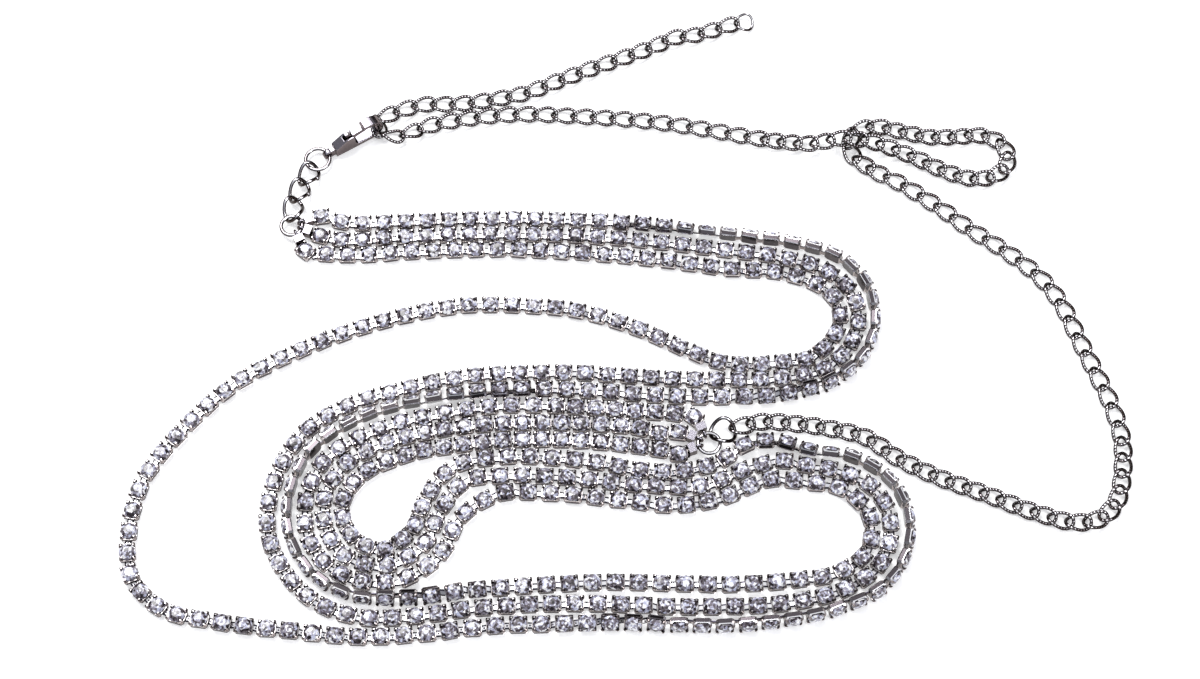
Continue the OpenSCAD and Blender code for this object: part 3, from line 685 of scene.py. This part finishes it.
# Where the links and rings lie, from the start ring to the clasp and from the end ring on
link_1_at = START_AT + (RING_R + ROUND_A - RING_WIRE - LINK_GAP) * unit(LINK_TURNS[0])
link_2_at = link_1_at + (2 * ROUND_A - RING_WIRE - LINK_GAP) * unit(LINK_TURNS[1])
link_3_at = link_2_at + (2 * ROUND_A - RING_WIRE - LINK_GAP) * unit(LINK_TURNS[2])
clasp_ring_at = link_3_at + (CLASP_RING_R + ROUND_A - RING_WIRE - LINK_GAP) * unit(LINK_TURNS[2])
eye_at = clasp_ring_at + CLASP_RING_R * unit(CLASP_TURN)
extender_ring_at = END_AT + (RING_R + EXTENDER_RING_R - RING_WIRE - LINK_GAP) * unit(EXTENDER_TURN)
held_u = CLASP_L - CLASP_H / 2 + PAST_HOOK
held_at = (eye_at + (held_u - EYE_R) * unit(CLASP_TURN) + HELD_SIDE * unit(CLASP_TURN + 90)
           + LINK_B * math.cos(math.radians(HELD_ROLL)) * unit(HELD_TURN - 90))
held_reach = LINK_A - LINK_WIRE - LINK_GAP
extender_first = extender_ring_at + (EXTENDER_RING_R + held_reach) * unit(FIRST_TURN)
extender_last = held_at - held_reach * unit(HELD_TURN) + LINK_A * unit(LAST_SWING)
tail_first = held_at + held_reach * unit(HELD_TURN) + LINK_A * unit(FIRST_SWING)
tail_ring_at = (np.array(ROUTE_TAIL[-1][:2])
                + (LINK_A + TAIL_RING_R - LINK_WIRE - LINK_GAP) * unit(TAIL_TURN))

# The round links and the rings
for name, at, heading, beaded in (
        ("link_1", link_1_at, LINK_TURNS[0], False),
        ("link_2", link_2_at, (LINK_TURNS[1] + LINK_TURNS[2]) / 2, True),
        ("link_3", link_3_at, LINK_TURNS[2], True)):
    b = rounds(ROUND_A, ROUND_B, ROUND_TWIST, ROUND_WIRE, lift(at, ROUND_Z), heading)
    if beaded:
        side = at + ROUND_B * unit(heading - 90)
        add_bead(b, lift(side + BEAD_OUT * unit(heading - 90), ROUND_Z))
    chain_piece(b, name + "_round", name, silver)
for name, a, twist, wire, at, heading in (
        ("extender_ring", EXTENDER_RING_R, ROUND_TWIST, ROUND_WIRE,
         lift(extender_ring_at, ROUND_Z), EXTENDER_HEADING),
        ("tail_ring", TAIL_RING_R, LINK_TWIST, LINK_WIRE, lift(tail_ring_at, LINK_Z), TAIL_TURN)):
    chain_piece(rounds(a, a, twist, wire, at, heading), name + "_round", name, silver)
for name, r in (("start_ring", RING_R), ("end_ring", RING_R), ("clasp_ring", CLASP_RING_R)):
    low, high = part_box(name)
    at = (np.array(low) + np.array(high)) / 2 / MM
    b = rounds(r, r, 0, ROUND_WIRE, lift(at, max(at[2], ROUND_WIRE / 2)))
    chain_piece(b, name + "_round", name, silver)

# The extender, its free end and the link in the clasp
chain_rows = link_rows(
    [lift(extender_first, 0)] + list(ROUTE_EXTENDER) + [lift(extender_last, END_LIFT)], SLACK_RUNS)
chain_rows[-2:] = [(np.array(BESIDE_LAST_AT), *BESIDE_LAST_TILT), (lift(extender_last, LAST_Z), *LAST_TILT)]
tail_rows = link_rows([lift(tail_first, END_LIFT)] + list(ROUTE_TAIL), [])
tail_rows[0] = (lift(tail_first, FIRST_Z), *FIRST_TILT)
for name, node, wire, rows in (
        ("extender_links", "extender_chain", ROPE_WIRE, chain_rows),
        ("tail_links", "extender_tail", ROPE_WIRE, tail_rows),
        ("hooked_link", "held_link", HELD_WIRE,
         [(lift(held_at, HELD_Z), HELD_TURN, HELD_SLOPE, HELD_ROLL)])):
    chain_piece(links(LINK_A, LINK_B, LINK_TWIST, wire, rows), name, node, rope)

# The CAD pieces, most of which the pieces above replace
for name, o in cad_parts.items():
    o.data.materials.clear()
    o.data.materials.append(clasp_silver if name in EDGES else silver)
for name, width in EDGES.items():
    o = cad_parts[name]
    weld = o.modifiers.new("weld", "WELD")
    weld.merge_threshold = 0.00001
    bevel = o.modifiers.new("bevel", "BEVEL")
    bevel.width = width * MM
    bevel.segments = 3
    bevel.limit_method = "ANGLE"
    bevel.angle_limit = math.radians(40)
    bevel.harden_normals = True

# The floor glows a little, as in a light tent, and lies just below the thickest wire
FLOOR_Z = -0.00014
bpy.ops.mesh.primitive_plane_add(size=6, location=(0, 0, FLOOR_Z))
floor = bpy.context.object
floor.name = "floor"
m, nodes, link, shader = material("floor_white")
shader.inputs["Base Color"].default_value = (0.96, 0.96, 0.96, 1)
shader.inputs["Roughness"].default_value = 0.9
shader.inputs["Emission Color"].default_value = (1, 1, 1, 1)
shader.inputs["Emission Strength"].default_value = 0.35
floor.data.materials.append(m)
floor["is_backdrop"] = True

# The studio: a dome that is dark at the horizon and white above, and two soft lights
world = bpy.data.worlds.new("studio")
bpy.context.scene.world = world
world.use_nodes = True
nodes, link = world.node_tree.nodes, world.node_tree.links
way = nodes.new("ShaderNodeTexCoord")
height = nodes.new("ShaderNodeSeparateXYZ")
dome = ramp(nodes, DOME_STOPS)
link.new(way.outputs["Generated"], height.inputs["Vector"])
link.new(height.outputs["Z"], dome.inputs["Fac"])
link.new(dome.outputs["Color"], nodes["Background"].inputs["Color"])
nodes["Background"].inputs["Strength"].default_value = 0.8
area_light("key", (-0.25, 0.35, 0.7), (0.5, 0.35), 5)
area_light("fill", (0.5, -0.3, 0.6), (0.3, 0.3), 2)

# The camera looks down at the photograph's angle
CAMERA_AT, LOOK_AT = Vector((-0.006, -0.2148, 0.4477)), Vector((-0.006, -0.006, 0))
camera = bpy.data.objects.new("camera", bpy.data.cameras.new("camera"))
bpy.context.scene.collection.objects.link(camera)
camera.location = CAMERA_AT
camera.rotation_mode = "QUATERNION"
camera.rotation_quaternion = (LOOK_AT - CAMERA_AT).to_track_quat("-Z", "Y")
camera.data.lens = 73.2
camera.data.sensor_width = 36
camera.data.clip_start, camera.data.clip_end = 0.01, 20
bpy.context.scene.camera = camera
bpy.context.scene.view_settings.view_transform = "Standard"

low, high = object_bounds()
